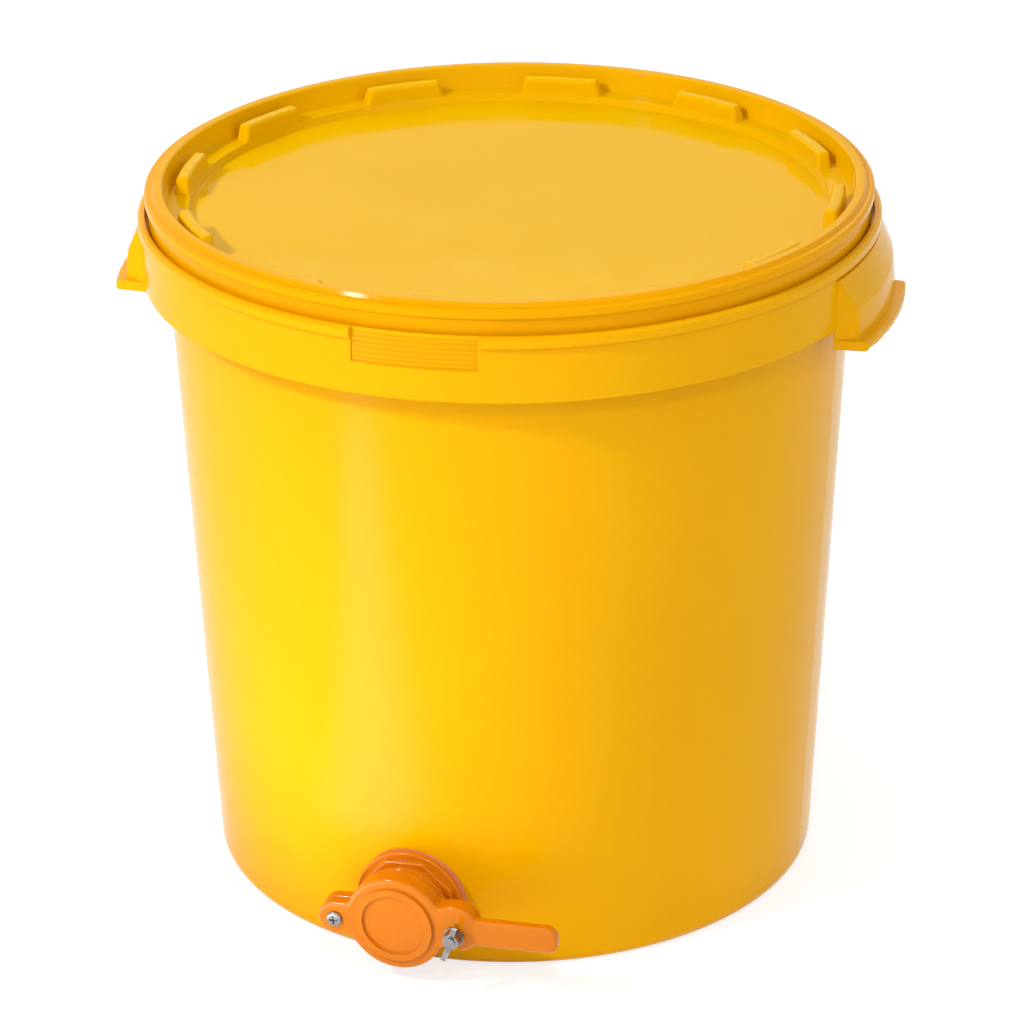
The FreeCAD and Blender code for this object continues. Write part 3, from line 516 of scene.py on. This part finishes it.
def lay_floor(glow):
    """A white floor that keeps the shadow."""
    mesh = bpy.data.meshes.new("floor")
    turns = ((-1, -1), (1, -1), (1, 1), (-1, 1))
    plan = [(x * FLOOR_HALF, y * FLOOR_HALF, 0) for x, y in turns]
    mesh.from_pydata(plan, [], [(0, 1, 2, 3)])
    floor = bpy.data.objects.new("floor", mesh)
    bpy.context.scene.collection.objects.link(floor)
    material = bpy.data.materials.new("floor_white")
    material.use_nodes = True
    nodes, links = material.node_tree.nodes, material.node_tree.links
    shader = nodes["Principled BSDF"]
    shader.inputs["Base Color"].default_value = (0.9, 0.9, 0.9, 1)
    shader.inputs["Roughness"].default_value = 0.9
    shader.inputs["Specular IOR Level"].default_value = 0.0
    light = nodes.new("ShaderNodeEmission")
    light.inputs["Strength"].default_value = FLOOR_LIGHT
    share = nodes.new("ShaderNodeMath")
    share.operation = "MULTIPLY"
    share.inputs[1].default_value = glow
    links.new(seen_directly(nodes, links), share.inputs[0])
    mix = nodes.new("ShaderNodeMixShader")
    links.new(share.outputs[0], mix.inputs["Fac"])
    links.new(shader.outputs[0], mix.inputs[1])
    links.new(light.outputs[0], mix.inputs[2])
    links.new(mix.outputs[0], nodes["Material Output"].inputs["Surface"])
    mesh.materials.append(material)


def light_world(strength):
    """Even light, and a white background where it is seen."""
    world = bpy.data.worlds.new("studio")
    world.use_nodes = True
    nodes, links = world.node_tree.nodes, world.node_tree.links
    shown = nodes["Background"]
    shown.inputs["Color"].default_value = (1, 1, 1, 1)
    shown.inputs["Strength"].default_value = 1.0
    lighting = nodes.new("ShaderNodeBackground")
    lighting.inputs["Color"].default_value = (1, 1, 1, 1)
    lighting.inputs["Strength"].default_value = strength
    mix = nodes.new("ShaderNodeMixShader")
    links.new(seen_directly(nodes, links), mix.inputs["Fac"])
    links.new(lighting.outputs[0], mix.inputs[1])
    links.new(shown.outputs[0], mix.inputs[2])
    links.new(mix.outputs[0], nodes["World Output"].inputs["Surface"])
    bpy.context.scene.world = world


def hang_lamp(name, place, aim, extent, power):
    """A rectangular lamp at a place, turned towards a point."""
    data = bpy.data.lights.new(name, "AREA")
    data.shape = "RECTANGLE"
    data.size, data.size_y = extent
    data.energy = power
    lamp = bpy.data.objects.new(name, data)
    bpy.context.scene.collection.objects.link(lamp)
    lamp.location = place
    lamp.rotation_euler = (Vector(aim) - Vector(place)).to_track_quat("-Z", "Y").to_euler()
    return lamp


def fade_sides(lamp):
    """Lets a lamp's light fall off towards its long sides."""
    lamp.data.use_nodes = True
    nodes, links = lamp.data.node_tree.nodes, lamp.data.node_tree.links
    spot = nodes.new("ShaderNodeNewGeometry")
    parts = nodes.new("ShaderNodeSeparateXYZ")
    links.new(spot.outputs["Parametric"], parts.inputs["Vector"])
    inward = nodes.new("ShaderNodeMath")
    inward.operation = "PINGPONG"
    inward.inputs[1].default_value = 0.5
    links.new(parts.outputs["X"], inward.inputs[0])
    fall = nodes.new("ShaderNodeMapRange")
    fall.interpolation_type = "SMOOTHSTEP"
    fall.inputs["From Max"].default_value = 0.5
    fall.inputs["To Max"].default_value = 2.0
    links.new(inward.outputs[0], fall.inputs["Value"])
    links.new(fall.outputs["Result"], nodes["Emission"].inputs["Strength"])


class HONEYTANK_PT_panel(bpy.types.Panel):
    """Lists the steps that dress the honey tank"""
    bl_label = "Honey Tank"
    bl_idname = "HONEYTANK_PT_panel"
    bl_space_type = "VIEW_3D"
    bl_region_type = "UI"
    bl_category = "Honey Tank"

    def draw(self, context):
        scene = context.scene
        for settings in (scene.honeytank_camera, scene.honeytank_colours,
                         scene.honeytank_thread, scene.honeytank_light):
            box = self.layout.box()
            for name in settings.__annotations__:
                box.prop(settings, name)
        for step in STEPS:
            self.layout.operator(step)


STEPS = ("honeytank.camera", "honeytank.pail", "honeytank.lid", "honeytank.gate",
         "honeytank.fasteners", "honeytank.stage")
CLASSES = (HoneyTankCamera, HoneyTankLight, HoneyTankColours, HoneyTankThread,
           HONEYTANK_OT_camera, HONEYTANK_OT_pail, HONEYTANK_OT_lid, HONEYTANK_OT_gate,
           HONEYTANK_OT_fasteners, HONEYTANK_OT_stage, HONEYTANK_PT_panel)


def register():
    for item in CLASSES:
        bpy.utils.register_class(item)
    bpy.types.Scene.honeytank_camera = PointerProperty(type=HoneyTankCamera)
    bpy.types.Scene.honeytank_light = PointerProperty(type=HoneyTankLight)
    bpy.types.Scene.honeytank_colours = PointerProperty(type=HoneyTankColours)
    bpy.types.Scene.honeytank_thread = PointerProperty(type=HoneyTankThread)


def unregister():
    for name in ("honeytank_camera", "honeytank_light", "honeytank_colours", "honeytank_thread"):
        delattr(bpy.types.Scene, name)
    for item in reversed(CLASSES):
        bpy.utils.unregister_class(item)


def main():
    register()
    bpy.ops.honeytank.camera()
    bpy.ops.honeytank.pail()
    bpy.ops.honeytank.lid()
    bpy.ops.honeytank.gate()
    bpy.ops.honeytank.fasteners()
    bpy.ops.honeytank.stage()


if __name__ == "__main__":
    main()
